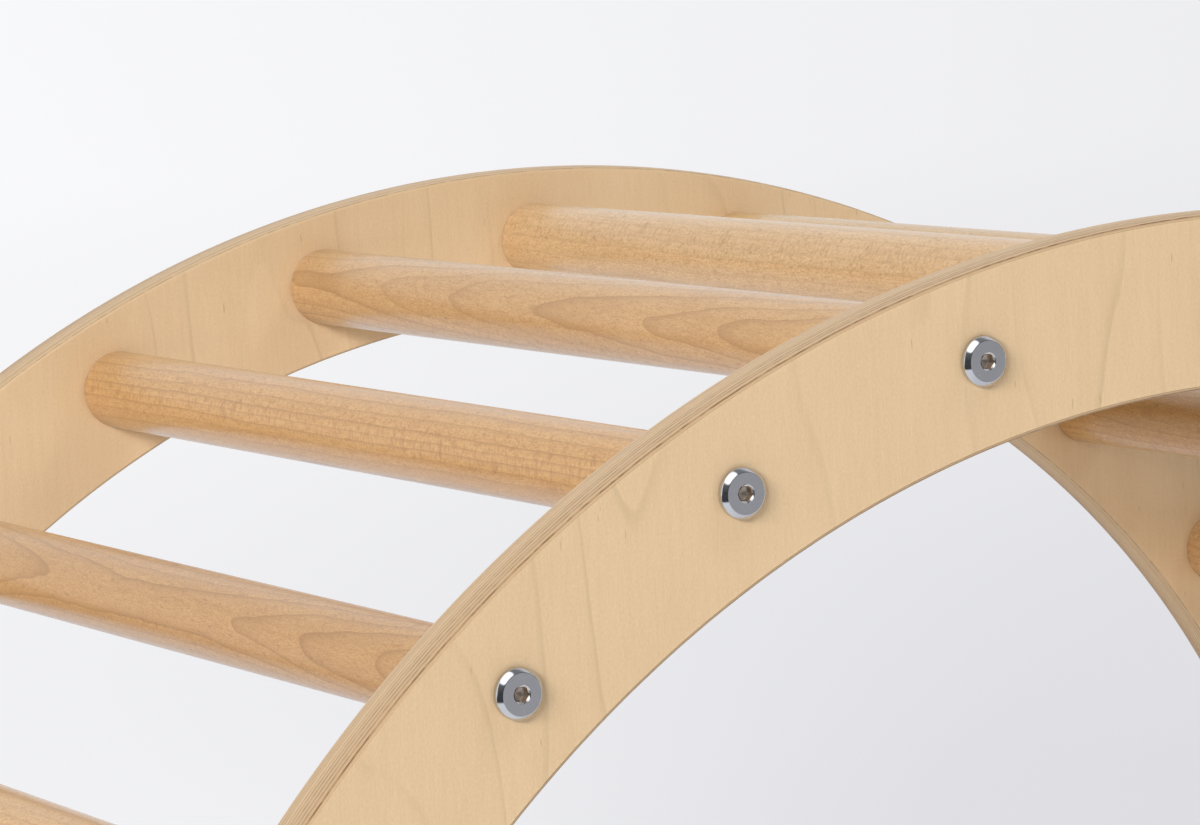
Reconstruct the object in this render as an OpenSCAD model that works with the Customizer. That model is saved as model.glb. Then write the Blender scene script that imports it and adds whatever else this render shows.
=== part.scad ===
// Climbing arch and rocker: two curved plywood side panels joined by round rungs, each rung held
// at both ends by a bolt that runs through the panel into a threaded insert.
// +X runs along the arch, +Y from the front panel to the rear one, +Z up from the floor.

/* [Arch] */
// Radius of the outer edge of a side panel
arch_radius = 490; // [430:1:620]
// Height of the arch above the floor
arch_height = 450; // [400:1:480]
// Width of a panel's curved band, across the curve
band_width = 62; // [54:1:90]
// Thickness of the plywood
panel_thickness = 18; // [15:0.5:24]
// Clear distance between the two side panels
inner_width = 478; // [300:1:800]
// Rounding of the long edges of a side panel
edge_radius = 1.5; // [1:0.5:6]
// Corner radius of each foot
foot_corner_radius = 14; // [6:1:20]

/* [Rungs] */
// Number of rungs
rung_count = 13; // [5:1:17]
// Diameter of a rung
rung_diameter = 32; // [26:1:38]
// Height of the lowest rungs' centre lines above the floor
end_rung_height = 55.5; // [40:0.5:120]

/* [Bolts] */
// Diameter of the bolt's shank, over its thread
bolt_diameter = 8; // [7:0.5:9]
// Length of the bolt below its head
bolt_length = 50; // [45:1:60]
// Length of the chamfer at the bolt's tip
tip_chamfer = 1; // [0.5:0.1:2]
// Diameter of the bolt's head
head_diameter = 17.5; // [15:0.5:22]
// Height of the bolt's head
head_height = 4.1; // [2.5:0.1:5]
// Height of the head's bevel, along the bolt
head_bevel_height = 1.8; // [0.5:0.1:2.2]
// Width of the head's bevel, along the radius
head_bevel_width = 1.6; // [0.5:0.1:3]
// Width across the flats of the hex socket
hex_width = 5; // [4:0.5:5.5]
// Depth of the hex socket
hex_depth = 4; // [2.5:0.5:6]

/* [Inserts] */
// Outer diameter of a threaded insert
insert_diameter = 12; // [11:0.5:15]
// Length of a threaded insert
insert_length = 25; // [15:1:30]

/* [Fits] */
// Gap round the bolt in the panel's hole, on each side
bolt_clearance = 0.25; // [0.1:0.05:0.5]
// Gap round the bolt in the insert, on each side
thread_clearance = 0.1; // [0.05:0.05:0.2]
// Gap round the insert in the rung, on each side
insert_clearance = 0.05; // [0.02:0.01:0.2]
// Gap past the bolt's tip in the rung
tip_gap = 4; // [2:0.5:8]

/* [Hidden] */
$fn = 96;
HEX_SIDES = 6;
// How far cutting shapes run past the faces that they cut
OVERCUT = 2;

// Height of the floor above the middle of the panels' circles
floor_level = arch_radius - arch_height;
inner_radius = arch_radius - band_width;
rung_circle_radius = arch_radius - band_width / 2;
end_rung_angle = acos((floor_level + end_rung_height) / rung_circle_radius);
rung_pitch_angle = 2 * end_rung_angle / (rung_count - 1);

bolt_hole_diameter = bolt_diameter + 2 * bolt_clearance;
insert_bore_diameter = bolt_diameter + 2 * thread_clearance;
insert_pocket_diameter = insert_diameter + 2 * insert_clearance;
tip_hole_depth = bolt_length - panel_thickness + tip_gap;

FRONT = -1;
REAR = 1;
OUTWARD = 1;
INWARD = -1;
RUNGS = [0 : rung_count - 1];

BIRCH = [0.88, 0.77, 0.63];
BEECH = [0.81, 0.67, 0.51];
CHROME = [0.74, 0.76, 0.78];
BRASS = [0.80, 0.68, 0.38];

function numbered(name, index) = str(name, index < 9 ? "_0" : "_", index + 1);
function rung_angle(index) = index * rung_pitch_angle - end_rung_angle;

// Moves its children from the middle of the panels' circles to the centre line of one rung.
module at_rung(index) {
    angle = rung_angle(index);
    translate([rung_circle_radius * sin(angle), 0, rung_circle_radius * cos(angle) - floor_level])
        children();
}

// Turns its children's +Z to point out of the arch on one side.
module facing_out(side) {
    rotate([-90 * side, 0, 0])
        children();
}

// Middle of a rounded foot corner that touches the floor, at a given distance from the arch's middle.
function corner_centre(from_middle) =
    let (height = floor_level + foot_corner_radius)
    [sqrt(from_middle * from_middle - height * height), height];

// What a rounded corner leaves out, towards the outer edge of the band or towards the inner edge.
module corner_waste(centre, towards) {
    tip = centre + towards * (foot_corner_radius + OVERCUT) * centre / norm(centre);
    beyond = centre[0] + towards * 2 * foot_corner_radius;
    below_floor = floor_level - OVERCUT;
    difference() {
        polygon([centre, tip, [beyond, tip[1]], [beyond, below_floor], [centre[0], below_floor]]);
        translate(centre)
            circle(r = foot_corner_radius);
    }
}

// Both rounded corners of the foot on the +X side, as waste to cut away.
module foot_waste() {
    corner_waste(corner_centre(arch_radius - foot_corner_radius), OUTWARD);
    corner_waste(corner_centre(inner_radius + foot_corner_radius), INWARD);
}

// Cross-section of the band, with all four long edges rounded.
module band_section() {
    translate([inner_radius + edge_radius, 0])
        square([band_width - 2 * edge_radius, panel_thickness]);
    translate([inner_radius, edge_radius])
        square([band_width, panel_thickness - 2 * edge_radius]);
    for (from_middle = [inner_radius + edge_radius, arch_radius - edge_radius])
        for (height = [edge_radius, panel_thickness - edge_radius])
            translate([from_middle, height])
                circle(r = edge_radius);
}

// A panel lying flat, with the middle of its circle at the origin and its outer face up.
module flat_panel() {
    difference() {
        rotate_extrude()
            band_section();
        translate([-arch_radius - OVERCUT, floor_level - 2 * arch_radius, -OVERCUT])
            cube([2 * (arch_radius + OVERCUT), 2 * arch_radius, panel_thickness + 2 * OVERCUT]);
        for (flip = [0, 1])
            mirror([flip, 0, 0])
                translate([0, 0, -OVERCUT])
                    linear_extrude(panel_thickness + 2 * OVERCUT)
                        foot_waste();
        for (i = RUNGS)
            rotate([0, 0, 90 - rung_angle(i)])
                translate([rung_circle_radius, 0, -OVERCUT])
                    cylinder(d = bolt_hole_diameter, h = panel_thickness + 2 * OVERCUT);
    }
}

module side_panel(side) {
    color(BIRCH)
        translate([0, side * inner_width / 2, -floor_level])
            mirror([0, side > 0 ? 1 : 0, 0])
                rotate([90, 0, 0])
                    flat_panel();
}

// The two stepped holes in a rung end: a pocket for the insert and a narrower hole for the bolt's tip.
module rung_end_holes() {
    translate([0, 0, -insert_length])
        cylinder(d = insert_pocket_diameter, h = insert_length + OVERCUT);
    translate([0, 0, -tip_hole_depth])
        cylinder(d = bolt_hole_diameter, h = tip_hole_depth + OVERCUT);
}

module rung(index) {
    color(BEECH)
        at_rung(index)
            difference() {
                rotate([90, 0, 0])
                    cylinder(d = rung_diameter, h = inner_width, center = true);
                for (side = [FRONT, REAR])
                    facing_out(side)
                        translate([0, 0, inner_width / 2])
                            rung_end_holes();
            }
}

// Half the outline of a bolt, with its head's seat at height 0.
module bolt_profile() {
    shank = bolt_diameter / 2;
    head = head_diameter / 2;
    polygon([
        [0, -bolt_length],
        [shank - tip_chamfer, -bolt_length],
        [shank, tip_chamfer - bolt_length],
        [shank, 0],
        [head, 0],
        [head, head_height - head_bevel_height],
        [head - head_bevel_width, head_height],
        [0, head_height]
    ]);
}

module bolt(index, side) {
    color(CHROME)
        at_rung(index)
            facing_out(side)
                translate([0, 0, inner_width / 2 + panel_thickness])
                    difference() {
                        rotate_extrude()
                            bolt_profile();
                        translate([0, 0, head_height - hex_depth])
                            linear_extrude(hex_depth + OVERCUT)
                                circle(d = hex_width / cos(180 / HEX_SIDES), $fn = HEX_SIDES);
                    }
}

module insert(index, side) {
    at_rung(index)
        facing_out(side)
            translate([0, 0, inner_width / 2 - insert_length])
                difference() {
                    cylinder(d = insert_diameter, h = insert_length);
                    translate([0, 0, -OVERCUT])
                        cylinder(d = insert_bore_diameter, h = insert_length + 2 * OVERCUT);
                }
}

module inserts(side) {
    color(BRASS)
        for (i = RUNGS)
            insert(i, side);
}

side_panel(FRONT);  // front_panel
side_panel(REAR);  // rear_panel
for (i = RUNGS) rung(i);
for (i = RUNGS) bolt(i, FRONT);
for (i = RUNGS) bolt(i, REAR);
inserts(FRONT);  // front_inserts
inserts(REAR);  // rear_inserts
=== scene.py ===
"""Looks for the climbing arch: plywood side panels, turned beech rungs and chromed bolts."""

import math
import random

import bpy
from mathutils import Matrix, Vector
from mathutils.geometry import tessellate_polygon


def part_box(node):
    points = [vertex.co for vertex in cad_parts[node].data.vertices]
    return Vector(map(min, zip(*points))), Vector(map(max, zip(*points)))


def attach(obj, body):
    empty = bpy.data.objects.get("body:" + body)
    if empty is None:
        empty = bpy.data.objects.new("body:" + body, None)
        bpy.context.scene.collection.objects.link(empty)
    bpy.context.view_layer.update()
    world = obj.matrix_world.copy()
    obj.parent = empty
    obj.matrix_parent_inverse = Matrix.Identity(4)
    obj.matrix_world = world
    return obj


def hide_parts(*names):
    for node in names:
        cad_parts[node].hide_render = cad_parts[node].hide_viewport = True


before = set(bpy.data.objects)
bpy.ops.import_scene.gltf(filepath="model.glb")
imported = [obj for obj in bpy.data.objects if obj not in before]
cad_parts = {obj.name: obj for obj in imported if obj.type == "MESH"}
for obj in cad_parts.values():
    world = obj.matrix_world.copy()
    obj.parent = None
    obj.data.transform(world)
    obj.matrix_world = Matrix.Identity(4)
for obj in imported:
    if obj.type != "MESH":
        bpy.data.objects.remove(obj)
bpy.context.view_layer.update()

# ---------------------------------------------------------------- sizes, in metres

ARCH_RADIUS = 0.490
BAND_WIDTH = 0.062
FOOT_CORNER_RADIUS = 0.014
FACE_VENEER = 0.0006
CORE_PLIES = 9

BOLT_HOLE_RADIUS = 0.00425
INSERT_POCKET_RADIUS = 0.00605
INSERT_LENGTH = 0.025
BOLT_TIP_GAP = 0.004
BOLT_SHANK_RADIUS = 0.004
BOLT_TIP_CHAMFER = 0.001
HEAD_HEIGHT = 0.0041
HEAD_BEVEL_HEIGHT = 0.0018
HEAD_BEVEL_WIDTH = 0.0016
HEX_WIDTH = 0.005
HEX_DEPTH = 0.004

# Lengths that differ by less than this are the same.
TINY = 0.000001

FRONT, REAR = -1, 1
RUNG_NODES = sorted(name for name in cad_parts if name.startswith("rung_"))


def middle(node):
    """The middle of a CAD node's box."""
    low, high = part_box(node)
    return (Vector(low) + Vector(high)) / 2


def extent(node):
    """How far a CAD node reaches along X, Y and Z."""
    low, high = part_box(node)
    return Vector(high) - Vector(low)


PANEL_LOW, PANEL_HIGH = (Vector(corner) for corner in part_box("front_panel"))
PANEL_OUTSIDE = -PANEL_LOW.y
PANEL_INSIDE = -PANEL_HIGH.y
PANEL_THICKNESS = PANEL_OUTSIDE - PANEL_INSIDE
INNER_RADIUS = ARCH_RADIUS - BAND_WIDTH
# Height of the floor above the middle of the panels' circles.
FLOOR_LEVEL = ARCH_RADIUS - PANEL_HIGH.z

RUNG_MIDDLES = [middle(node) for node in RUNG_NODES]
RUNG_RADIUS = extent(RUNG_NODES[0]).z / 2
HEAD_RADIUS = extent("front_bolt_01").x / 2
BOLT_LENGTH = extent("front_bolt_01").y - HEAD_HEIGHT


# ---------------------------------------------------------------- shader arithmetic

BLACK = (0.0, 0.0, 0.0)
WHITE = (1.0, 1.0, 1.0)
# The sockets of a Mix node that mixes colours.
MIX_FACTOR, MIX_FIRST, MIX_SECOND, MIX_RESULT = 0, 6, 7, 2
# The middle of a noise.
MIDDLE = 0.5


class Signal:
    """A shader socket that takes part in arithmetic and adds its Math nodes."""

    def __init__(self, graph, socket):
        self.graph = graph
        self.socket = socket

    def __add__(self, other):
        return self.graph.math("ADD", self, other)

    def __radd__(self, other):
        return self.graph.math("ADD", other, self)

    def __sub__(self, other):
        return self.graph.math("SUBTRACT", self, other)

    def __rsub__(self, other):
        return self.graph.math("SUBTRACT", other, self)

    def __mul__(self, other):
        return self.graph.math("MULTIPLY", self, other)

    def __rmul__(self, other):
        return self.graph.math("MULTIPLY", other, self)

    def __truediv__(self, other):
        return self.graph.math("DIVIDE", self, other)

    def __mod__(self, other):
        return self.graph.math("MODULO", self, other)

    def __pow__(self, other):
        return self.graph.math("POWER", self, other)

    def __abs__(self):
        return self.graph.math("ABSOLUTE", self)


class Graph:
    """The nodes of one material or world."""

    def __init__(self, owner):
        owner.use_nodes = True
        self.tree = owner.node_tree
        self.tree.nodes.clear()

    def node(self, kind, settings=None, sockets=None, output=0):
        """Adds a node, sets its settings and then its sockets, and returns an output, if any."""
        node = self.tree.nodes.new(kind)
        for name, setting in (settings or {}).items():
            setattr(node, name, setting)
        for name, given in (sockets or {}).items():
            if isinstance(given, Signal):
                self.tree.links.new(given.socket, node.inputs[name])
            else:
                node.inputs[name].default_value = given
        return Signal(self, node.outputs[output]) if node.outputs else None

    def math(self, operation, *values):
        return self.node("ShaderNodeMath", {"operation": operation}, dict(enumerate(values)))

    def mix(self, factor, first, second, blend="MIX"):
        """A colour between two colours, each a signal or three numbers."""
        pair = [c if isinstance(c, Signal) else (*c, 1.0) for c in (first, second)]
        return self.node(
            "ShaderNodeMix",
            {"data_type": "RGBA", "blend_type": blend, "clamp_factor": True},
            {MIX_FACTOR: factor, MIX_FIRST: pair[0], MIX_SECOND: pair[1]},
            output=MIX_RESULT,
        )

    def smooth_step(self, value, low, high):
        """0 below low, 1 above high and a soft curve between."""
        return self.node(
            "ShaderNodeMapRange",
            {"interpolation_type": "SMOOTHSTEP"},
            {"Value": value, "From Min": low, "From Max": high},
        )

    def ridge(self, value, low, top, high):
        """0 up to low, 1 at top and 0 again from high on."""
        return self.smooth_step(value, low, top) * (1.0 - self.smooth_step(value, top, high))

    def noise(self, place, size, detail=2.0, roughness=0.5):
        """Fractal noise between 0 and 1, about 0.5, with grains of a size along each axis."""
        scaled = {axis: part / grain for axis, (part, grain) in enumerate(zip(place, size))}
        vector = self.node("ShaderNodeCombineXYZ", None, scaled)
        sockets = {"Vector": vector, "Scale": 1.0, "Detail": detail, "Roughness": roughness}
        return self.node("ShaderNodeTexNoise", None, sockets)

    @staticmethod
    def vary(base, *noises):
        """A base moved by pairs of a noise, counted from its middle, and its weight."""
        for noise, weight in noises:
            base = base + (noise - MIDDLE) * weight
        return base

    def chance(self, seed):
        """A random number between 0 and 1 that belongs to a seed."""
        settings = {"noise_dimensions": "1D"}
        return self.node("ShaderNodeTexWhiteNoise", settings, {"W": seed}, output="Value")

    def bump(self, height, strength, distance):
        sockets = {"Strength": strength, "Distance": distance, "Height": height}
        return self.node("ShaderNodeBump", None, sockets)

    def parts(self, vector):
        """The X, Y and Z of a vector, as three signals."""
        split = self.node("ShaderNodeSeparateXYZ", None, {0: vector})
        return [Signal(self, output) for output in split.socket.node.outputs]

    def place(self, kind="Object"):
        """Where the shaded point lies, or in a world its direction, as three signals."""
        return self.parts(self.node("ShaderNodeTexCoord", output=kind))

    def facing(self):
        """The direction that the surface faces, as three signals."""
        return self.parts(self.node("ShaderNodeNewGeometry", output="Normal"))

    def stored(self, name, output="Vector"):
        """What the points of a piece store under a name."""
        return self.node("ShaderNodeAttribute", {"attribute_name": name}, output=output)

    def finish_material(self, **sockets):
        """Ends a material in a Principled shader with the given sockets."""
        named = {}
        for name, given in sockets.items():
            named[name.replace("_", " ").title().replace("Ior", "IOR")] = given
        shader = self.node("ShaderNodeBsdfPrincipled", None, named)
        self.node("ShaderNodeOutputMaterial", None, {"Surface": shader})


def new_material(name):
    material = bpy.data.materials.new(name)
    return material, Graph(material)


# ---------------------------------------------------------------- birch plywood

BIRCH_PALE = (0.790, 0.590, 0.375)
BIRCH_TAN = (0.700, 0.495, 0.290)
BIRCH_LINE = (0.470, 0.330, 0.185)
BIRCH_SPOT = (0.260, 0.150, 0.070)
EDGE_PALE = (0.690, 0.505, 0.310)
EDGE_BROWN = (0.420, 0.265, 0.145)
GLUE_BROWN = (0.150, 0.080, 0.035)

# Sizes of the figure: across the grain, through the panel and along the grain.
VENEER_FIBRE = (0.0005, 0.0006, 0.008)
VENEER_GRIT = (0.0007, 0.0006, 0.0012)
VENEER_STRIPE = (0.0026, 0.002, 0.040)
VENEER_CLOUD = (0.020, 0.010, 0.060)
VENEER_FLECK = (0.0009, 0.0012, 0.009)
VENEER_PORE = (0.00035, 0.00025, 0.003)
FLECK_EDGE = (0.825, 0.86)
FLECK_DARKNESS = 0.45
FLECK_DEPTH = 0.3

# Sizes of the growth figure: across the grain, 1 for the ply's seed, and along the grain.
GROWTH_RELIEF = (0.075, 1.0, 0.36)
GROWTH_WOBBLE = (0.008, 1.0, 0.030)
GROWTH_PATCH = (0.040, 1.0, 0.14)
GROWTH_LINES_IN_RELIEF = 7.5
GROWTH_LINE_SPACING = 0.065
GROWTH_RAGGEDNESS = 0.09
# Where in each growth ring a line starts, is darkest and ends, and the tone that leads up to it.
GROWTH_LINE = (0.87, 0.965, 1.0)
GROWTH_SHOULDER = (0.55, 0.985, 1.0)
GROWTH_LINE_DARKNESS = 0.26
GROWTH_SHOULDER_DARKNESS = 0.06
GROWTH_PATCH_EDGE = (0.34, 0.70)

# The plies waver a little, and each ply and each panel starts elsewhere in the noise.
PLY_WAVER_SIZE = (0.02, 0.02, 0.02)
PLY_WAVER = 0.0003
PLY_SEED = 0.37
PANEL_SEED = 5.3

# What makes a cut edge browner: fibres that end in it, the ply itself, and painted shade that
# darkens it towards the outer face.
FIBRE_END_EDGE = (0.15, 0.95)
FIBRE_END_BROWN = 0.20
PLY_BROWN = 0.35
OUTER_PAINTED_SHADE = 0.22
OUTER_EDGE = (0.25 * PANEL_THICKNESS, 0.75 * PANEL_THICKNESS)
# Size of the normal's Y below which a surface is a cut edge, and above which it is a face.
CUT_EDGE = (0.90, 0.995)

# Glue lines: their soft half width as a share of a ply, the size of the breaks in them, how dark
# they are in a break, what whole glue adds to that, the share of it that the inner plies keep,
# where the lines fade as painted sheen, and what a face veneer adds.
GLUE_EDGE = (0.06, 0.20)
GLUE_BREAK = (0.004, 0.0008, 0.004)
GLUE_BREAK_EDGE = (0.35, 0.65)
GLUE_BROKEN = 0.36
GLUE_WHOLE = 0.40
GLUE_KEPT_UNDER_PAINTED_SHEEN = 0.50
GLUE_UNDER_FACE = 0.10

BIRCH_ROUGHNESS = 0.44
BIRCH_IOR = 1.46
# Cut edges are rougher than faces, and fibres rougher than the wood between them.
CUT_ROUGHNESS = 0.10
FIBRE_ROUGHNESS = 0.10
WOOD_BUMP_STRENGTH = 0.10
WOOD_BUMP_DISTANCE = 0.0003


def birch_plywood():
    """Eleven crossed plies: upright grain on the thin face veneers, striped cut edges."""
    material, g = new_material("birch_plywood")
    x, y, z = g.place()
    nx, ny, nz = (abs(part) for part in g.facing())

    # Which ply a point lies in, counted from the inner face, and how far through it.
    depth = abs(y) - PANEL_INSIDE
    core_ply = (PANEL_THICKNESS - 2 * FACE_VENEER) / CORE_PLIES
    wavering_depth = g.vary(depth, (g.noise((x, y, z), PLY_WAVER_SIZE), PLY_WAVER))
    plies_in = (wavering_depth - FACE_VENEER) / core_ply + 1.0
    ply = g.math("MINIMUM", g.math("MAXIMUM", g.math("FLOOR", plies_in), 0.0), CORE_PLIES + 1.0)
    through = plies_in - ply
    crosswise = ply % 2.0
    seed = ply * PLY_SEED + g.math("SIGN", y) * PANEL_SEED

    # Every second ply runs along X instead of Z.
    across = x + (z - x) * crosswise + seed
    along = z + (x - z) * crosswise + seed
    grain = (across, depth, along)
    growth = (across, seed, along)

    # Growth lines: thin level lines of a slow relief that is drawn out along the grain.
    relief = g.noise(growth, GROWTH_RELIEF, detail=1.5, roughness=0.45) * GROWTH_LINES_IN_RELIEF
    wobble = g.noise(growth, GROWTH_WOBBLE) * GROWTH_RAGGEDNESS
    level = g.math("FRACT", relief + across / GROWTH_LINE_SPACING + wobble)
    line = g.ridge(level, *GROWTH_LINE) * GROWTH_LINE_DARKNESS
    shoulder = g.ridge(level, *GROWTH_SHOULDER) * GROWTH_SHOULDER_DARKNESS
    patch = g.smooth_step(g.noise(growth, GROWTH_PATCH), *GROWTH_PATCH_EDGE)

    # Fibres, slow changes of tone, and now and then a short dark fleck.
    fibre = g.noise(grain, VENEER_FIBRE, roughness=0.65)
    grit = g.noise(grain, VENEER_GRIT, detail=1.0)
    stripe = g.noise(grain, VENEER_STRIPE)
    cloud = g.noise(grain, VENEER_CLOUD)
    fleck = g.smooth_step(g.noise(grain, VENEER_FLECK, detail=0.0), *FLECK_EDGE)

    tone = g.vary(MIDDLE, (fibre, 0.9), (grit, 1.1), (stripe, 0.55), (cloud, 0.60))
    face = g.mix(tone, BIRCH_TAN, BIRCH_PALE)
    face = g.mix((line + shoulder) * patch, face, BIRCH_LINE)
    face = g.mix(fleck * FLECK_DARKNESS, face, BIRCH_SPOT)

    # Cut edges: browner than the faces, most of all where a ply's fibres end, and browner towards
    # the outer face as painted shade.
    fibre_ends = g.smooth_step(nz + (nx - nz) * crosswise, *FIBRE_END_EDGE)
    pore = g.noise(grain, VENEER_PORE, detail=1.0)
    # 0 at the inner face, 1 at the outer: the edge browns towards the outer face as painted shade,
    #                                      and its glue lines fade towards the inner face as painted
    #                                      sheen.
    outer = g.smooth_step(depth, *OUTER_EDGE)
    browning_and_painted_shade = fibre_ends * FIBRE_END_BROWN + g.chance(seed) * PLY_BROWN + outer * OUTER_PAINTED_SHADE
    edge = g.mix(g.vary(browning_and_painted_shade, (pore, 0.5)), EDGE_PALE, EDGE_BROWN)

    # Glue shows as thin dark lines, broken in places, and strongest beside the face veneers.
    from_joint = MIDDLE - abs(through - MIDDLE)
    from_middle = abs(depth - PANEL_THICKNESS / 2)
    inside = g.math("LESS_THAN", from_middle, PANEL_THICKNESS / 2 - FACE_VENEER / 2)
    under_face = g.math("GREATER_THAN", from_middle, PANEL_THICKNESS / 2 - FACE_VENEER * 2)
    unbroken = g.smooth_step(g.noise((x, y, z), GLUE_BREAK, detail=1.0), *GLUE_BREAK_EDGE)
    # Painted sheen: glue lines grow fainter towards the inner face.
    darkness = (GLUE_BROKEN + unbroken * GLUE_WHOLE) * (GLUE_KEPT_UNDER_PAINTED_SHEEN + outer * (1.0 - GLUE_KEPT_UNDER_PAINTED_SHEEN))
    darkness = darkness + under_face * unbroken * GLUE_UNDER_FACE
    glue = (1.0 - g.smooth_step(from_joint, *GLUE_EDGE)) * inside * darkness
    on_edge = 1.0 - g.smooth_step(ny, *CUT_EDGE)

    height = g.vary(0.0, (fibre, 0.5), (stripe, 0.4)) - fleck * FLECK_DEPTH - glue * on_edge
    g.finish_material(
        base_color=g.mix(on_edge, face, g.mix(glue, edge, GLUE_BROWN)),
        roughness=g.vary(BIRCH_ROUGHNESS + on_edge * CUT_ROUGHNESS, (fibre, FIBRE_ROUGHNESS)),
        normal=g.bump(height, WOOD_BUMP_STRENGTH, WOOD_BUMP_DISTANCE),
        ior=BIRCH_IOR,
    )
    return material


# ---------------------------------------------------------------- beech

BEECH_PALE = (0.690, 0.465, 0.255)
BEECH_TAN = (0.560, 0.345, 0.165)
BEECH_LINE = (0.340, 0.185, 0.080)
BEECH_RAY = (0.360, 0.200, 0.090)

# Sizes of the figure: two directions across the log, and along it.
RING_SWELL = (0.045, 0.045, 0.085)
RING_CURL = (0.010, 0.010, 0.014)
LOG_PORE = (0.00042, 0.00042, 0.0021)
LOG_FIBRE = (0.0013, 0.0013, 0.010)
LOG_STRIPE = (0.004, 0.004, 0.12)
LOG_CLOUD = (0.02, 0.02, 0.06)

# Sizes of the rays: round the pith, along the log and away from the pith.
RAY_SIZE = (0.00034, 0.0014, 0.003)
RAY_EDGE = (0.46, 0.72)
RAY_DARKNESS = 0.34
WIDE_RAY_SIZE = (0.001, 0.0042, 0.010)
WIDE_RAY_EDGE = (0.66, 0.78)
WIDE_RAY_DARKNESS = 0.26
RAY_DEPTH = 0.3
# The distance from the pith at which a ray is as wide as its size says.
RAY_REACH = 0.05

# Some rings are wider than others: they drift out of step by about this many rings.
RING_DRIFT_SIZE = (0.009, 1.0, 0.6)
RING_DRIFT = 1.2
# Late wood darkens slowly through a ring, then sharply, and ends in a thin soft edge.
SLOW_DARKENING, SLOW_POWER = 0.16, 2.0
SHARP_DARKENING, SHARP_POWER = 0.42, 7.0
LATE_WOOD_END = (0.965, 1.0)
# The share of that darkness that every ring has; the rest is left to chance.
EVERY_RING = 0.35
RING_TONE = 0.14
LATE_WOOD_STRENGTH = 1.1
LATE_WOOD_DEPTH = 0.2

BEECH_TONE = 0.55
BEECH_ROUGHNESS = 0.38
BEECH_IOR = 1.30
OIL_ROUGHNESS = 0.25
OIL_IOR = 1.20


def beech():
    """Beech cut from a log: growth rings round the pith, and rays that point away from it."""
    material, g = new_material("beech")
    log_place = g.parts(g.stored("log_place"))
    u, v, w = log_place
    swelling, ripple, ring_width = g.parts(g.stored("log_nature"))
    # The tint is the wood's own tone, and for rung 10 also painted shade.
    tint = g.stored("log_tint_and_painted_shade", output="Color")
    figure = g.stored("log_figure", output="Fac")

    # The log isn't straight: its rings swell and ripple along its length.
    swell = g.noise(log_place, RING_SWELL, detail=1.0)
    curl = g.noise(log_place, RING_CURL, detail=1.0)
    from_pith = g.vary(g.math("SQRT", u * u + v * v), (swell, swelling), (curl, ripple))
    drift = g.noise((from_pith, 0.0, w), RING_DRIFT_SIZE)
    ring = g.vary(from_pith / ring_width, (drift, RING_DRIFT))
    within = g.math("FRACT", ring)
    ring_tone = g.chance(g.math("FLOOR", ring))
    darkness = within ** SHARP_POWER * SHARP_DARKENING + within ** SLOW_POWER * SLOW_DARKENING
    end_of_ring = 1.0 - g.smooth_step(within, *LATE_WOOD_END)
    late_wood = darkness * end_of_ring * (EVERY_RING + ring_tone * (1.0 - EVERY_RING)) * figure

    # Rays are thin upright lenses that reach out from the pith.
    around = g.math("ARCTAN2", v, u) * RAY_REACH
    ray_place = (around, w, from_pith)
    ray = g.smooth_step(g.noise(ray_place, RAY_SIZE, detail=0.0), *RAY_EDGE)
    wide_ray = g.smooth_step(g.noise(ray_place, WIDE_RAY_SIZE, detail=0.0), *WIDE_RAY_EDGE)
    ray_darkness = ray * RAY_DARKNESS + wide_ray * WIDE_RAY_DARKNESS

    # Pores and fibres give the wood its grain, and break up its late wood.
    pore = g.noise(log_place, LOG_PORE, detail=1.0)
    fibre = g.noise(log_place, LOG_FIBRE, detail=3.0, roughness=0.75)
    stripe = g.noise(log_place, LOG_STRIPE)
    cloud = g.noise(log_place, LOG_CLOUD, detail=1.5)
    tone = g.vary(BEECH_TONE, (fibre, 2.10), (pore, 1.90), (stripe, 0.4), (cloud, 0.5))
    tone = g.vary(tone, (ring_tone, figure * RING_TONE))
    strength = g.vary(LATE_WOOD_STRENGTH, (fibre, 0.9), (pore, 2.0))

    colour = g.mix(tone, BEECH_TAN, BEECH_PALE)
    colour = g.mix(late_wood * strength, colour, BEECH_LINE)
    colour = g.mix(ray_darkness, colour, BEECH_RAY)
    colour = g.mix(1.0, colour, tint, blend="MULTIPLY")

    height = g.vary(0.0, (fibre, 0.6), (pore, 0.3))
    height = height - ray * RAY_DEPTH - late_wood * LATE_WOOD_DEPTH
    g.finish_material(
        base_color=colour,
        roughness=g.vary(BEECH_ROUGHNESS, (fibre, FIBRE_ROUGHNESS)),
        normal=g.bump(height, WOOD_BUMP_STRENGTH, WOOD_BUMP_DISTANCE),
        ior=BEECH_IOR,
        coat_weight=1.0,
        coat_roughness=OIL_ROUGHNESS,
        coat_ior=OIL_IOR,
    )
    return material


# ---------------------------------------------------------------- metals

PLATED_BEVEL = (0.60, 0.62, 0.66)
# The flat is the bevel's plating painted darker: painted shade that stands in for the dim room it
# mirrors.
SATIN_FLAT_WITH_PAINTED_SHADE = (0.40, 0.405, 0.42)
PLATED_SOCKET = (0.84, 0.76, 0.68)
# Dark brown painted on the foot of each head: painted shade for the contact shadow where the head
# meets the panel.
PAINTED_SEAT_SHADE = (0.16, 0.11, 0.07)
# Height above the panel from which the painted shade at a bolt's seat fades, and where it ends.
PAINTED_SEAT_SHADE_HEIGHT = (0.0004, 0.0007)
# Size of the normal's Y below which a head is all bevel, and above which it is all flat.
FLAT_EDGE = (0.97, 0.995)
SMEAR_SIZE = (0.004, 0.004, 0.004)
SATIN_SIZE = (0.00025, 0.00025, 0.00025)
SATIN_BUMP_STRENGTH = 0.05
SATIN_BUMP_DISTANCE = 0.0001
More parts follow.
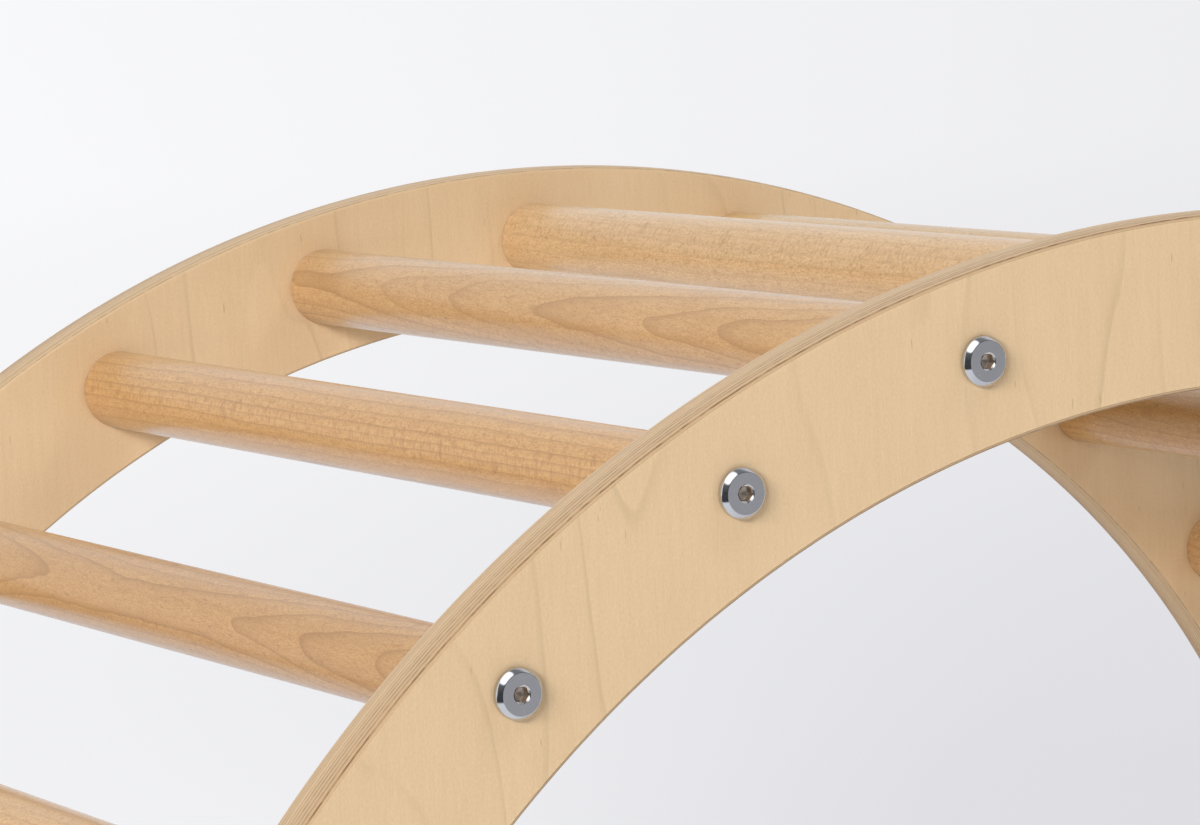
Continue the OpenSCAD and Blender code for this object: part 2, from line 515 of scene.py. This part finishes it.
# Roughness of the polished bevel, and what the other places and smears add to it.
PLATING_ROUGHNESS = 0.06
FLAT_ROUGHNESS = 0.22
SOCKET_ROUGHNESS = 0.12
SEAT_ROUGHNESS = 0.3
SMEAR_ROUGHNESS = 0.06

BRASS_DARK = (0.70, 0.53, 0.24)
BRASS_BRIGHT = (0.83, 0.66, 0.34)
BRASS_ROUGHNESS = 0.28
TOOL_MARK_ROUGHNESS = 0.12
TOOL_MARK_SIZE = (0.02, 0.0002, 0.02)


def bolt_chrome():
    """Bright plating: a head's flat is finely satined and painted a darker grey as painted shade,
    its bevel and socket are polished, and its seat carries painted shade.
    """
    material, g = new_material("bolt_chrome")
    x, y, z = g.place()
    flat = g.smooth_step(abs(g.facing()[1]), *FLAT_EDGE)
    socket = g.stored("socket_wall", output="Fac")
    # Painted shade: the foot of the head is darker near the panel.
    painted_seat_shade = 1.0 - g.smooth_step(abs(y) - PANEL_OUTSIDE, *PAINTED_SEAT_SHADE_HEIGHT)
    smear = g.noise((x, y, z), SMEAR_SIZE, detail=3.0)
    satin = g.noise((x, y, z), SATIN_SIZE)
    # Painted shade: the flat takes a darker copy of the plating.
    colour = g.mix(flat, PLATED_BEVEL, SATIN_FLAT_WITH_PAINTED_SHADE)
    colour = g.mix(painted_seat_shade, colour, PAINTED_SEAT_SHADE)
    roughness = PLATING_ROUGHNESS + flat * FLAT_ROUGHNESS
    roughness = roughness + socket * SOCKET_ROUGHNESS + painted_seat_shade * SEAT_ROUGHNESS
    g.finish_material(
        base_color=g.mix(socket, colour, PLATED_SOCKET),
        metallic=1.0,
        roughness=g.vary(roughness, (smear, SMEAR_ROUGHNESS)),
        normal=g.bump(satin, SATIN_BUMP_STRENGTH, SATIN_BUMP_DISTANCE),
    )
    return material


def insert_brass():
    """Turned brass of the threaded inserts inside the rung ends."""
    material, g = new_material("insert_brass")
    tool_marks = g.noise(g.place(), TOOL_MARK_SIZE, detail=1.0)
    g.finish_material(
        base_color=g.mix(tool_marks, BRASS_DARK, BRASS_BRIGHT),
        metallic=1.0,
        roughness=BRASS_ROUGHNESS + tool_marks * TOOL_MARK_ROUGHNESS,
    )
    return material


# ---------------------------------------------------------------- mesh making


def add_piece(name, points, faces, flat_faces, material, node):
    """Makes an object from points and faces and lets it stand for a CAD node."""
    mesh = bpy.data.meshes.new(name)
    mesh.from_pydata(points, [], faces)
    mesh.update()
    for polygon in mesh.polygons:
        polygon.use_smooth = polygon.index not in flat_faces
    mesh.materials.append(material)
    piece = bpy.data.objects.new(name, mesh)
    bpy.context.scene.collection.objects.link(piece)
    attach(piece, "root")
    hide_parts(node)
    return piece


def mark(piece, name, vectors):
    """Stores a vector at each point of a piece for its material to read."""
    layer = piece.data.attributes.new(name, "FLOAT_VECTOR", "POINT")
    for item, vector in zip(layer.data, vectors):
        item.vector = vector


def loft(rings):
    """Points and faces of a closed skin over rings of equal count; a ring of one is a tip."""
    points = [point for ring in rings for point in ring]
    faces = []
    start = 0
    for ring, following in zip(rings, rings[1:]):
        count = max(len(ring), len(following))
        after = start + len(ring)
        for i in range(count):
            j = (i + 1) % count
            if len(ring) == 1:
                faces.append((start, after + j, after + i))
            elif len(following) == 1:
                faces.append((start + i, start + j, after))
            else:
                faces.append((start + i, start + j, after + j, after + i))
        start = after
    return points, faces


def turned(profile, steps):
    """Rings round the Y axis for a profile of (radius, y)."""
    angles = [2 * math.pi * i / steps for i in range(steps)]
    rings = []
    for radius, y in profile:
        if radius == 0:
            rings.append([(0, y, 0)])
        else:
            rings.append([(radius * math.cos(a), y, radius * math.sin(a)) for a in angles])
    return rings


def arc(centre, radius, first_angle, last_angle, steps):
    """Points along an arc, both ends included."""
    angles = [first_angle + (last_angle - first_angle) * i / steps for i in range(steps + 1)]
    return [(centre[0] + radius * math.cos(a), centre[1] + radius * math.sin(a)) for a in angles]


# ---------------------------------------------------------------- side panels

# The edges are rounded, and between the roundings their faces bulge a little.
EDGE_RADIUS = 0.0011
EDGE_CROWN = 0.0008
CROWN_POWER = 2.5

ARC_STEPS = 300
CORNER_STEPS = 14
ROUNDING_STEPS = 6
CROWN_STEPS = 6
HOLE_STEPS = 36


def panel_outline(inset):
    """Outline of a panel in X and Z, drawn in from its true edge by an inset."""
    corner = FOOT_CORNER_RADIUS - inset
    height = FLOOR_LEVEL + FOOT_CORNER_RADIUS
    outer_reach = ARCH_RADIUS - FOOT_CORNER_RADIUS
    inner_reach = INNER_RADIUS + FOOT_CORNER_RADIUS
    outer_angle = math.asin(height / outer_reach)
    inner_angle = math.asin(height / inner_reach)
    outer_x = outer_reach * math.cos(outer_angle)
    inner_x = inner_reach * math.cos(inner_angle)
    left, down = math.pi, -math.pi / 2
    outline = arc((0, 0), ARCH_RADIUS - inset, outer_angle, left - outer_angle, ARC_STEPS)
    outline += arc((-outer_x, height), corner, left - outer_angle, left - down, CORNER_STEPS)[1:]
    outline += arc((-inner_x, height), corner, down, -inner_angle, CORNER_STEPS)
    outline += arc((0, 0), INNER_RADIUS + inset, left - inner_angle, inner_angle, ARC_STEPS)[1:]
    outline += arc((inner_x, height), corner, left + inner_angle, left - down, CORNER_STEPS)[1:]
    outline += arc((outer_x, height), corner, down, outer_angle, CORNER_STEPS)[:-1]
    return [(x, z - FLOOR_LEVEL) for x, z in outline]


def panel_levels():
    """Depth and inset of each ring round a panel's edge, from its inner face to its outer one."""
    half = PANEL_THICKNESS / 2
    levels = []
    for i in range(ROUNDING_STEPS + 1):
        angle = math.pi / 2 * i / ROUNDING_STEPS
        off = half - EDGE_RADIUS * (1 - math.cos(angle))
        levels.append((off, EDGE_RADIUS * (1 - math.sin(angle))))
    for i in range(1, CROWN_STEPS + 1):
        levels.append(((half - EDGE_RADIUS) * (1 - i / CROWN_STEPS), 0.0))
    levels = [(off, inset + EDGE_CROWN * (off / half) ** CROWN_POWER) for off, inset in levels]
    inner = [(half - off, inset) for off, inset in levels]
    outer = [(half + off, inset) for off, inset in reversed(levels[:-1])]
    return inner + outer


def add_panel(side, node, name, material):
    """A side panel with rounded edges and a bolt hole for each rung."""
    rings = []
    for depth, inset in panel_levels():
        y = side * (PANEL_INSIDE + depth)
        rings.append([(x, y, z) for x, z in panel_outline(inset)])
    points, faces = loft(rings)
    count = len(rings[0])

    # Each hole is a tube between its ring on the inner face and its ring on the outer one.
    holes = []
    for centre in RUNG_MIDDLES:
        hole = []
        for y in (side * PANEL_INSIDE, side * PANEL_OUTSIDE):
            hole.append(len(points))
            ring = arc((centre.x, centre.z), BOLT_HOLE_RADIUS, 0, 2 * math.pi, HOLE_STEPS)[:-1]
            points += [(x, y, z) for x, z in ring]
        holes.append(hole)
        for i in range(HOLE_STEPS):
            j = (i + 1) % HOLE_STEPS
            faces.append((hole[0] + j, hole[0] + i, hole[1] + i, hole[1] + j))

    # The two faces are flat sheets between the panel's outline and its holes.
    flat = set()
    for end in (0, 1):
        start = end * (len(rings) - 1) * count
        loops = [list(range(start, start + count))]
        loops += [list(range(hole[end], hole[end] + HOLE_STEPS)) for hole in holes]
        order = [index for loop in loops for index in loop]
        outline = [[Vector((points[i][0], points[i][2], 0)) for i in loop] for loop in loops]
        for a, b, c in tessellate_polygon(outline):
            flat.add(len(faces))
            faces.append((order[a], order[b], order[c]))
    add_piece(name, points, faces, flat, material, node)


# ---------------------------------------------------------------- rungs

RUNG_STEPS = 128
RUNG_SECTIONS = 16
RUNG_ARRIS = 0.0012
# A point half-way round the arris: its share of the arris in from the skin and from the end.
ARRIS_SHOULDER = (0.15, 0.45)

# How far round the pith the grain turns, for each metre along a rung.
LOG_TWIST = 0.02
# Distance along the log between two rungs, so that no two share their figure.
LOG_SPACING = 7.0


class Log:
    """Where a rung lay in its log, how its rings bend and how dark its wood is."""

    def __init__(self, pith_angle, pith_distance, lean, bow, nature, figure, tint, start):
        self.pith_angle = math.radians(pith_angle)
        self.pith_distance = pith_distance
        self.lean = lean
        self.bow = bow
        self.nature = nature
        self.figure = figure
        self.tint = tint
        self.start = start

    def place(self, x, y, z):
        """Place in the log of a point that lies at (x, y, z) from the middle of the rung."""
        away = -math.cos(self.pith_angle), -math.sin(self.pith_angle)
        out = x * away[0] + z * away[1]
        sideways = x * away[1] - z * away[0]
        bend = self.lean * y + self.bow * y * y / PANEL_INSIDE
        return self.pith_distance + out + bend, sideways + LOG_TWIST * y, y + self.start


# The logs of the rungs whose figure is known. Each row gives the pith's direction in degrees and
# its distance, the lean and the bow of the grain, the (swelling, ripple, width) of the rings, how
# strongly they show, and the tint of the wood; rung 10's tint is darker still as painted shade.
KNOWN_LOGS = {
    3: (235, 0.055, 0.008, 0.0, (0.004, 0.0006, 0.0038), 0.9, (1.00, 0.95, 0.86)),
    4: (160, 0.060, 0.000, -0.080, (0.006, 0.0010, 0.0042), 1.4, (0.85, 0.74, 0.58)),
    5: (245, 0.055, 0.006, 0.0, (0.003, 0.0006, 0.0036), 1.2, (0.96, 0.86, 0.70)),
    6: (165, 0.060, 0.060, 0.0, (0.008, 0.0010, 0.0042), 1.2, (0.96, 0.91, 0.83)),
    7: (70, 0.055, 0.005, 0.0, (0.003, 0.0004, 0.0044), 0.6, (1.05, 1.07, 1.08)),
    # Rung 10 sits in shade under the front panel; its darker tint is partly painted shade.
    10: (165, 0.050, 0.030, 0.0, (0.006, 0.0020, 0.0030), 0.9, (0.88, 0.75, 0.55)),
}

# The ranges that the other logs are drawn from.
LOG_SEED = 11
PITH_ANGLES = (0, 360)
PITH_DISTANCES = (0.040, 0.070)
LEANS = (-0.05, 0.05)
BOWS = (-0.03, 0.03)
NATURES = ((0.003, 0.009), (0.0004, 0.0014), (0.0026, 0.0038))
FIGURES = (0.6, 1.1)
TINTS = ((0.92, 1.02), (0.88, 1.00), (0.80, 0.96))


def drawn_log(chance):
    """A row as in KNOWN_LOGS, drawn by chance."""
    pith_angle = chance.uniform(*PITH_ANGLES)
    pith_distance = chance.uniform(*PITH_DISTANCES)
    lean = chance.uniform(*LEANS)
    bow = chance.uniform(*BOWS)
    nature = tuple(chance.uniform(*span) for span in NATURES)
    figure = chance.uniform(*FIGURES)
    tint = tuple(chance.uniform(*span) for span in TINTS)
    return pith_angle, pith_distance, lean, bow, nature, figure, tint


def logs():
    """One log for each rung."""
    chance = random.Random(LOG_SEED)
    found = []
    for index in range(len(RUNG_NODES)):
        drawn = drawn_log(chance)
        found.append(Log(*KNOWN_LOGS.get(index + 1, drawn), LOG_SPACING * index))
    return found


def add_rung(index, log, material):
    """A round bar with a stepped pocket in each end, marked with its place in the log."""
    half = PANEL_INSIDE
    pocket_depth = BOLT_LENGTH - PANEL_THICKNESS + BOLT_TIP_GAP
    shoulder_in, shoulder_along = ARRIS_SHOULDER
    end = [
        (0, half - pocket_depth),
        (BOLT_HOLE_RADIUS, half - pocket_depth),
        (BOLT_HOLE_RADIUS, half - INSERT_LENGTH),
        (INSERT_POCKET_RADIUS, half - INSERT_LENGTH),
        (INSERT_POCKET_RADIUS, half),
        (RUNG_RADIUS - RUNG_ARRIS, half),
        (RUNG_RADIUS - RUNG_ARRIS * shoulder_in, half - RUNG_ARRIS * shoulder_along),
        (RUNG_RADIUS, half - RUNG_ARRIS),
    ]
    reach = half - RUNG_ARRIS
    sections = [reach - 2 * reach * i / RUNG_SECTIONS for i in range(1, RUNG_SECTIONS)]
    profile = end + [(RUNG_RADIUS, y) for y in sections]
    profile += [(radius, -y) for radius, y in reversed(end)]
    points, faces = loft(turned(profile, RUNG_STEPS))

    # Only the long round skin is shaded smooth.
    on_skin = [math.hypot(x, z) > RUNG_RADIUS - TINY for x, y, z in points]
    flat = {i for i, face in enumerate(faces) if not all(on_skin[corner] for corner in face)}

    centre = RUNG_MIDDLES[index]
    placed = [(x + centre.x, y, z + centre.z) for x, y, z in points]
    node = RUNG_NODES[index]
    piece = add_piece(f"beech_{node}", placed, faces, flat, material, node)
    mark(piece, "log_place", [log.place(*point) for point in points])
    mark(piece, "log_nature", [log.nature] * len(points))
    mark(piece, "log_tint_and_painted_shade", [log.tint] * len(points))
    mark(piece, "log_figure", [(log.figure,) * 3] * len(points))


# ---------------------------------------------------------------- bolts

BOLT_STEPS = 96
# A head's underside curves up from its seat, by way of a lip, to its rim.
SEAT_INSET = 0.0012
LIP_INSET = 0.0009
LIP_HEIGHT = 0.00042
RIM_HEIGHT = 0.0006
BEVEL_AT_RIM = math.radians(57)
BEVEL_AT_FLAT = math.radians(42)
BEVEL_STEPS = 5
SOFT_EDGE = 0.0001
SOFT_STEPS = 2

SOCKET_LEAD = 0.0003
SOCKET_LEAD_DEPTH = 0.00055
SOCKET_DRILL_RADIUS = HEX_WIDTH * 0.45
SOCKET_DRILL_CONE = 0.0012
HEX_SIDES = 6
HEX_SECTOR = 2 * math.pi / HEX_SIDES
HEX_TURN = math.radians(13)
HEX_TURN_SPREAD = math.radians(5)
HEX_TURN_SEED = 5


def hexagon(width, y, turn):
    """A six-sided ring with as many points as a bolt's round rings."""
    ring = []
    for i in range(BOLT_STEPS):
        angle = 2 * math.pi * i / BOLT_STEPS
        from_flat = (angle + HEX_SECTOR / 2) % HEX_SECTOR - HEX_SECTOR / 2
        radius = width / 2 / math.cos(from_flat)
        ring.append((radius * math.cos(angle + turn), y, radius * math.sin(angle + turn)))
    return ring


def softened(profile):
    """A profile of (radius, y) with each corner between its ends eased by a small curve."""
    eased = [profile[0]]
    for before, corner, after in zip(profile, profile[1:], profile[2:]):
        before, corner, after = Vector(before), Vector(corner), Vector(after)
        start = corner + (before - corner).normalized() * SOFT_EDGE
        end = corner + (after - corner).normalized() * SOFT_EDGE
        for i in range(SOFT_STEPS + 1):
            t = i / SOFT_STEPS
            eased.append(tuple(start.lerp(corner, t).lerp(corner.lerp(end, t), t)))
    return eased + [profile[-1]]


def crowned_bevel():
    """The head's bevel from its rim to its flat, a little steeper at the rim than at the flat."""
    rim = Vector((HEAD_RADIUS, HEAD_HEIGHT - HEAD_BEVEL_HEIGHT))
    flat = Vector((HEAD_RADIUS - HEAD_BEVEL_WIDTH, HEAD_HEIGHT))
    steep, gentle = math.tan(BEVEL_AT_RIM), math.tan(BEVEL_AT_FLAT)
    out = (steep * HEAD_BEVEL_WIDTH - HEAD_BEVEL_HEIGHT) / (steep - gentle)
    crown = flat + Vector((out, -out * gentle))
    steps = [i / BEVEL_STEPS for i in range(BEVEL_STEPS + 1)]
    return [tuple(rim.lerp(crown, t).lerp(crown.lerp(flat, t), t)) for t in steps]


def bolt_profile():
    """The (radius, y) of a bolt from its tip to its socket's mouth, with its seat at 0."""
    hex_corner = HEX_WIDTH / 2 / math.cos(HEX_SECTOR / 2)
    head = [
        (BOLT_SHANK_RADIUS, 0),
        (HEAD_RADIUS - SEAT_INSET, 0),
        (HEAD_RADIUS - LIP_INSET, LIP_HEIGHT),
        (HEAD_RADIUS, RIM_HEIGHT),
        *crowned_bevel(),
        (hex_corner + SOCKET_LEAD, HEAD_HEIGHT),
    ]
    shank = [
        (0, -BOLT_LENGTH),
        (BOLT_SHANK_RADIUS - BOLT_TIP_CHAMFER, -BOLT_LENGTH),
        (BOLT_SHANK_RADIUS, BOLT_TIP_CHAMFER - BOLT_LENGTH),
    ]
    return shank + softened(head)


def add_bolt(side, index, material, turn):
    """A bolt on a rung's centre line; its rings are made with +Y pointing out of its head."""
    rings = turned(bolt_profile(), BOLT_STEPS)
    mouth = len(rings) - 1
    rings.append(hexagon(HEX_WIDTH, HEAD_HEIGHT - SOCKET_LEAD_DEPTH, turn))
    rings.append(hexagon(HEX_WIDTH, HEAD_HEIGHT - HEX_DEPTH + SOCKET_LEAD, turn))
    rings += turned([(SOCKET_DRILL_RADIUS, HEAD_HEIGHT - HEX_DEPTH)], BOLT_STEPS)
    rings.append([(0, HEAD_HEIGHT - HEX_DEPTH - SOCKET_DRILL_CONE, 0)])
    points, faces = loft(rings)

    # The first ring is one point, so ring n starts at point 1 + (n - 1) * BOLT_STEPS. The head's
    # flat lies between the last ring before the mouth and the mouth, and the socket follows it.
    flat_start = 1 + (mouth - 2) * BOLT_STEPS
    socket_start = 1 + mouth * BOLT_STEPS
    flat = {i for i, face in enumerate(faces) if min(face) >= flat_start}

    centre = RUNG_MIDDLES[index]
    placed = [(x + centre.x, side * (PANEL_OUTSIDE + y), z + centre.z) for x, y, z in points]
    label = "front" if side == FRONT else "rear"
    node = f"{label}_bolt_{index + 1:02d}"
    piece = add_piece(f"chrome_{node}", placed, faces, flat, material, node)
    in_socket = [float(i >= socket_start) for i in range(len(points))]
    mark(piece, "socket_wall", [(inside,) * 3 for inside in in_socket])


# ---------------------------------------------------------------- camera

CAMERA_PLACE = (-1.0287, -1.6224, 0.5810)
CAMERA_YAW = math.radians(29.61)
CAMERA_PITCH = math.radians(6.42)
CAMERA_ROLL = math.radians(2.81)
CAMERA_LENS = 146.4
CAMERA_SENSOR = 36.0
CAMERA_NEAR, CAMERA_FAR = 0.05, 200.0


def add_camera():
    data = bpy.data.cameras.new("camera")
    data.sensor_width = CAMERA_SENSOR
    data.lens = CAMERA_LENS
    data.clip_start = CAMERA_NEAR
    data.clip_end = CAMERA_FAR
    camera = bpy.data.objects.new("camera", data)
    yaw = Matrix.Rotation(-CAMERA_YAW, 4, "Z")
    pitch = Matrix.Rotation(math.pi / 2 - CAMERA_PITCH, 4, "X")
    roll = Matrix.Rotation(-CAMERA_ROLL, 4, "Z")
    camera.matrix_world = Matrix.Translation(CAMERA_PLACE) @ yaw @ pitch @ roll
    bpy.context.scene.collection.objects.link(camera)
    bpy.context.scene.camera = camera


# ---------------------------------------------------------------- floor and light


def direction(heading, height=0.0):
    """The unit vector at a heading from +X and a height above the floor, in degrees."""
    heading, height = math.radians(heading), math.radians(height)
    level = math.cos(height)
    return Vector((level * math.cos(heading), level * math.sin(heading), math.sin(height)))


def towards(place, heading):
    """How far a place of X and Y, or of X, Y and Z, lies along a vector."""
    products = [part * share for part, share in zip(place, heading)]
    return sum(products[1:], products[0])


FLOOR_REACH = 60.0
FLOOR_GAP = 0.0003
FLOOR_ROUGHNESS = 0.9
# Near the arch, how much of the paper's colour glows, and how much takes light and shade.
FLOOR_GLOW = 0.635
FLOOR_SHADE = 0.45
# Distances from the arch between which the painted shade near it fades, and the far floor begins.
NEAR_FADE = (0.9, 4.0)
FAR_RISE = (0.5, 8.0)

PAPER_BRIGHT = (0.955, 0.957, 0.960)
PAPER_SHADED = (0.700, 0.700, 0.735)
PAPER_BOUNCE = (0.95, 0.94, 0.90)
PAPER_STRENGTH = 1.075
# The paper is painted brighter towards one side of the arch, from 0 for shaded to 1 for bright, and
# painted darker near the arch: painted light and shade.
BRIGHT_SIDE = direction(150)
BRIGHT_RISE = (-0.35, 0.42)
LEAST_BRIGHTNESS = 0.25
MORE_BRIGHTNESS = 0.62
NEAR_SHADE = 0.40

# What metal mirrors: paper behind the arch and on its left, but not far in front of it, a dim
# room elsewhere, and a white screen above the key lamp.
PAPER_END_SIDE = direction(205)
PAPER_END = (0.85, 1.05)
PAPER_END_SHADE = 0.93
PAPER_SIDE = direction(60.4)
PAPER_SIDE_EDGE = (0.0, 0.35)
LEFT_WALL_SIDE = direction(108)
LEFT_WALL_EDGE = (0.0, 0.12)
DIM_LEVEL = 0.055
DIM_RISE = 0.19
SCREEN_DIRECTION = direction(222, 58)
SCREEN_EDGE = (0.87, 0.93)
SCREEN_WHITE = (1.60, 1.60, 1.60)

# The room's light on the arch, which grows along a slope, and the screen's share of it.
ROOM_LEVEL = 0.006
ROOM_SLOPE = (0.520, 0.378, 0.200)
SCREEN_LIGHT = 0.4

# The lamps: directions in degrees, distances and sizes in metres, and power in watts.
LAMP_AIM = Vector((0, 0, 0.3))
SOFTBOXES = {
    "key_softbox": dict(heading=212.3, height=21.0, distance=12.0, size=(6.9, 2.5), power=1300.0),
    "top_softbox": dict(heading=-18.0, height=60.0, distance=8.0, size=(4.8, 2.5), power=275.0),
}


def paper_colour(g, x, y, nearness):
    """The colour of the white paper and of the wall it runs into, with painted light towards one
    side and painted shade near the arch.
    """
    away = g.math("SQRT", x * x + y * y)
    bright_side = g.smooth_step(towards((x, y), BRIGHT_SIDE) / away, *BRIGHT_RISE)
    # Painted light and shade: brighter towards one side, darker near the arch.
    painted_brightness = LEAST_BRIGHTNESS + bright_side * MORE_BRIGHTNESS - nearness * NEAR_SHADE
    return g.mix(painted_brightness, PAPER_SHADED, PAPER_BRIGHT)


def ray_kinds(g):
    """Whether a ray comes from the camera, and whether by way of metal or glass."""
    outputs = g.node("ShaderNodeLightPath").socket.node.outputs
    kinds = ("Camera", "Glossy", "Transmission")
    camera, glossy, through = (Signal(g, outputs[f"Is {kind} Ray"]) for kind in kinds)
    return camera, g.math("MINIMUM", glossy + through, 1.0)


def floor_paper():
    """White paper that shows the arch's shadow and lights the arch from below."""
    material, g = new_material("floor_paper")
    x, y, _ = g.place()
    away = g.math("SQRT", x * x + y * y)
    colour = paper_colour(g, x, y, 1.0 - g.smooth_step(away, *NEAR_FADE))
    # Far from the arch the paper shows its own colour, however near a lamp it lies.
    far = g.smooth_step(away, *FAR_RISE)
    glow = FLOOR_GLOW + far * (1.0 - FLOOR_GLOW)
    # In reflections the paper ends in front of the arch, except on the left.
    paper_end = g.smooth_step(towards((x, y), PAPER_END_SIDE), *PAPER_END)
    left_wall = g.smooth_step(towards((x, y), LEFT_WALL_SIDE) / away, *LEFT_WALL_EDGE)
    camera, glossy = ray_kinds(g)
    seen = camera + glossy * (1.0 - paper_end * (1.0 - left_wall) * PAPER_END_SHADE)
    lit = g.mix(FLOOR_SHADE * (1.0 - far), BLACK, colour)
    bounce = g.mix(glossy, PAPER_BOUNCE, BLACK)
    g.finish_material(
        base_color=g.mix(seen, bounce, lit),
        roughness=FLOOR_ROUGHNESS,
        specular_ior_level=0.0,
        emission_color=g.mix(seen * glow, BLACK, colour),
        emission_strength=PAPER_STRENGTH,
    )
    return material


def add_floor():
    mesh = bpy.data.meshes.new("floor")
    signs = ((-1, -1), (1, -1), (1, 1), (-1, 1))
    corners = [(x * FLOOR_REACH, y * FLOOR_REACH, 0) for x, y in signs]
    mesh.from_pydata(corners, [], [(0, 1, 2, 3)])
    mesh.materials.append(floor_paper())
    floor = bpy.data.objects.new("floor", mesh)
    floor.location.z = -FLOOR_GAP
    bpy.context.scene.collection.objects.link(floor)


def add_world():
    """A studio: soft light for the arch, and walls and a screen that only the eye and metal see."""
    world = bpy.data.worlds.new("studio")
    bpy.context.scene.world = world
    g = Graph(world)
    x, y, z = g.place("Generated")
    screen = g.smooth_step(towards((x, y, z), SCREEN_DIRECTION), *SCREEN_EDGE)
    room_level = g.math("MAXIMUM", towards((x, y, z), ROOM_SLOPE) + ROOM_LEVEL, 0.0)
    room = g.mix(room_level + screen * SCREEN_LIGHT, BLACK, WHITE)

    paper = paper_colour(g, x, y, 0.0)
    behind = g.smooth_step(towards((x, y), PAPER_SIDE), *PAPER_SIDE_EDGE)
    left_wall = g.smooth_step(towards((x, y), LEFT_WALL_SIDE), *LEFT_WALL_EDGE)
    dim = g.mix(DIM_LEVEL + z * DIM_RISE, BLACK, WHITE)
    mirrored = g.mix(g.math("MAXIMUM", behind, left_wall), dim, paper)
    mirrored = g.mix(screen, mirrored, SCREEN_WHITE)

    camera, glossy = ray_kinds(g)
    shown = g.mix(glossy, paper, mirrored)
    light = g.node("ShaderNodeBackground", None, {"Color": room, "Strength": 1.0})
    picture = g.node("ShaderNodeBackground", None, {"Color": shown, "Strength": PAPER_STRENGTH})
    seen = g.math("MINIMUM", camera + glossy, 1.0)
    shader = g.node("ShaderNodeMixShader", None, {0: seen, 1: light, 2: picture})
    g.node("ShaderNodeOutputWorld", None, {"Surface": shader})


def add_softbox(name, heading, height, distance, size, power):
    """A rectangular soft lamp that faces the arch."""
    data = bpy.data.lights.new(name, "AREA")
    data.shape = "RECTANGLE"
    data.size, data.size_y = size
    data.energy = power
    lamp = bpy.data.objects.new(name, data)
    away = direction(heading, height)
    lamp.location = LAMP_AIM + away * distance
    lamp.rotation_euler = away.to_track_quat("Z", "Y").to_euler()
    lamp.visible_camera = False
    lamp.visible_glossy = False
    bpy.context.scene.collection.objects.link(lamp)


# ---------------------------------------------------------------- building


def build_arch():
    plywood = birch_plywood()
    wood = beech()
    chrome = bolt_chrome()
    brass = insert_brass()
    add_panel(FRONT, "front_panel", "plywood_front_panel", plywood)
    add_panel(REAR, "rear_panel", "plywood_rear_panel", plywood)
    for index, log in enumerate(logs()):
        add_rung(index, log, wood)
    chance = random.Random(HEX_TURN_SEED)
    for side in (FRONT, REAR):
        for index in range(len(RUNG_NODES)):
            turn = HEX_TURN + chance.uniform(-HEX_TURN_SPREAD, HEX_TURN_SPREAD)
            add_bolt(side, index, chrome, turn)
    for node in ("front_inserts", "rear_inserts"):
        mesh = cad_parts[node].data
        mesh.materials.clear()
        mesh.materials.append(brass)


def build_studio():
    add_camera()
    add_floor()
    add_world()
    for name, setup in SOFTBOXES.items():
        add_softbox(name, **setup)
    bpy.context.scene.view_settings.view_transform = "Standard"


build_arch()
build_studio()
